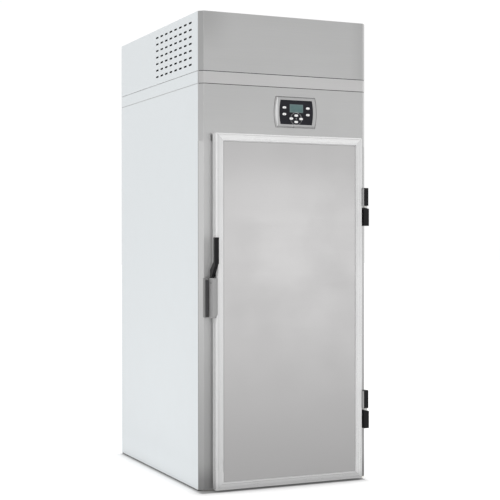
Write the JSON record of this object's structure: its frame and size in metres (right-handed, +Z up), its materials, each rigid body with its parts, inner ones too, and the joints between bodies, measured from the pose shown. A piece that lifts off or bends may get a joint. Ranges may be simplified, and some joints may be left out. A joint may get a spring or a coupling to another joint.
{
  "type": "retarder proofer cabinet",
  "caption": "Tall roll-in retarder proofer with insulated white walls, stainless front, one hinged door with lever latch, control panel and vented technical compartment on top.",
  "frame": {"origin": "centre of the cabinet's base footprint, on the floor", "axes": "+Z up, -Y is the front with the door, +X to the right seen from the front"},
  "size_m": [0.95, 1.366, 2.4],
  "materials": {
    "white_sheet": "satin",
    "stainless_front": "satin",
    "stainless_door": "satin",
    "stainless_liner": "satin",
    "door_profile": "satin",
    "galvanised": "satin",
    "foam": "matte",
    "dark_rubber": "matte",
    "grey_rubber": "matte",
    "dark_plastic": "matte",
    "black_plastic": "satin",
    "grey_plastic": "satin",
    "nylon": "satin",
    "black_paint": "satin",
    "motor_grey": "satin",
    "fin_aluminium": "satin",
    "copper": "satin",
    "hinge_metal": "satin",
    "latch_grey": "satin",
    "steel_pin": "polished",
    "bezel_silver": "satin",
    "overlay_black": "satin",
    "lcd": "gloss",
    "key_white": "satin",
    "board_green": "satin"
  },
  "bodies": {
    "cabinet": {"left_wall_skin": "white_sheet", "right_wall_skin": "white_sheet", "rear_wall_skin": "white_sheet", "ceiling_skin": "white_sheet", "ceiling_front_trim": "stainless_front", "foam_cores": "foam", "chamber_liner": "stainless_liner", "door_jambs": "stainless_front", "fascia_panel": "stainless_front", "panel_seals": "dark_rubber", "base_rails": "dark_plastic", "floor_pan": "stainless_liner", "compartment_side_sheets": "white_sheet", "compartment_rear_sheet": "white_sheet", "service_panel": "stainless_front", "compartment_top_cover": "white_sheet", "compressor": "black_paint", "condenser_coil": "fin_aluminium", "condenser_shroud": "galvanised", "fan_motors": "motor_grey", "refrigerant_pipes": "copper", "electrical_box": "grey_plastic", "cable_gland": "dark_plastic", "evaporator_coil": "fin_aluminium", "air_plenum": "stainless_liner", "rear_air_duct": "stainless_liner", "drain_pipe": "grey_plastic", "heater_element": "stainless_liner", "steam_humidifier": "grey_plastic", "trolley_bumpers": "grey_plastic", "hinge_frame_halves": "black_plastic", "hinge_pins": "steel_pin", "hinge_bushes": "nylon", "latch_keeper": "hinge_metal", "keeper_pad": "dark_rubber", "control_bezel": "bezel_silver", "control_overlay": "overlay_black", "lcd_window": "lcd", "control_board": "board_green"},
    "door": {"door_skin": "stainless_door", "door_core": "foam", "door_liner": "stainless_liner", "door_frame_profiles": "door_profile", "door_gasket": "grey_rubber", "hinge_door_halves": "hinge_metal", "hinge_covers": "black_plastic", "latch_body": "latch_grey", "lever_pin": "steel_pin"},
    "lever": {"latch_lever": "black_plastic"},
    "plunger": {"latch_plunger": "nylon"},
    "condenser_rotor": {"condenser_fan": "dark_plastic"},
    "evaporator_rotor": {"evaporator_fan": "dark_plastic"},
    "key_left_upper_cap": {"key_left_upper": "key_white"},
    "key_left_lower_cap": {"key_left_lower": "key_white"},
    "key_right_upper_cap": {"key_right_upper": "key_white"},
    "key_right_lower_cap": {"key_right_lower": "key_white"},
    "key_up_cap": {"key_up": "key_white"},
    "key_down_cap": {"key_down": "key_white"},
    "key_left_cap": {"key_left": "key_white"},
    "key_right_cap": {"key_right": "key_white"}
  },
  "joints": [
    {"name": "door_swing", "type": "hinge", "parent": "cabinet", "child": "door", "pos_m": [0.431, -0.685, 0.9], "axis": [0, 0, 1], "range_deg": [0, 120]},
    {"name": "lever_pull", "type": "hinge", "parent": "door", "child": "lever", "pos_m": [-0.424, -0.664, 1.042], "axis": [1, 0, 0], "range_deg": [0, 20], "stiffness_Nm_per_rad": 2, "springref_deg": -11.46},
    {"name": "plunger_push", "type": "slide", "parent": "door", "child": "plunger", "axis": [0, 1, 0], "range_m": [0, 0.0095]},
    {"name": "condenser_fan_spin", "type": "hinge", "parent": "cabinet", "child": "condenser_rotor", "pos_m": [-0.378, -0.248, 2.238], "axis": [1, 0, 0], "continuous": true},
    {"name": "evaporator_fan_spin", "type": "hinge", "parent": "cabinet", "child": "evaporator_rotor", "pos_m": [0, -0.25, 1.828], "axis": [0, 0, 1], "continuous": true},
    {"name": "key_left_upper_press", "type": "slide", "parent": "cabinet", "child": "key_left_upper_cap", "axis": [0, 1, 0], "range_m": [0, 0.001], "stiffness_N_per_m": 500, "springref_m": -0.0008},
    {"name": "key_left_lower_press", "type": "slide", "parent": "cabinet", "child": "key_left_lower_cap", "axis": [0, 1, 0], "range_m": [0, 0.001], "stiffness_N_per_m": 500, "springref_m": -0.0008},
    {"name": "key_right_upper_press", "type": "slide", "parent": "cabinet", "child": "key_right_upper_cap", "axis": [0, 1, 0], "range_m": [0, 0.001], "stiffness_N_per_m": 500, "springref_m": -0.0008},
    {"name": "key_right_lower_press", "type": "slide", "parent": "cabinet", "child": "key_right_lower_cap", "axis": [0, 1, 0], "range_m": [0, 0.001], "stiffness_N_per_m": 500, "springref_m": -0.0008},
    {"name": "key_up_press", "type": "slide", "parent": "cabinet", "child": "key_up_cap", "axis": [0, 1, 0], "range_m": [0, 0.001], "stiffness_N_per_m": 500, "springref_m": -0.0008},
    {"name": "key_down_press", "type": "slide", "parent": "cabinet", "child": "key_down_cap", "axis": [0, 1, 0], "range_m": [0, 0.001], "stiffness_N_per_m": 500, "springref_m": -0.0008},
    {"name": "key_left_press", "type": "slide", "parent": "cabinet", "child": "key_left_cap", "axis": [0, 1, 0], "range_m": [0, 0.001], "stiffness_N_per_m": 500, "springref_m": -0.0008},
    {"name": "key_right_press", "type": "slide", "parent": "cabinet", "child": "key_right_cap", "axis": [0, 1, 0], "range_m": [0, 0.001], "stiffness_N_per_m": 500, "springref_m": -0.0008}
  ],
  "couplings": [
    {"joint": "plunger_push", "follows": "lever_pull", "m_per_rad": 0.026}
  ]
}
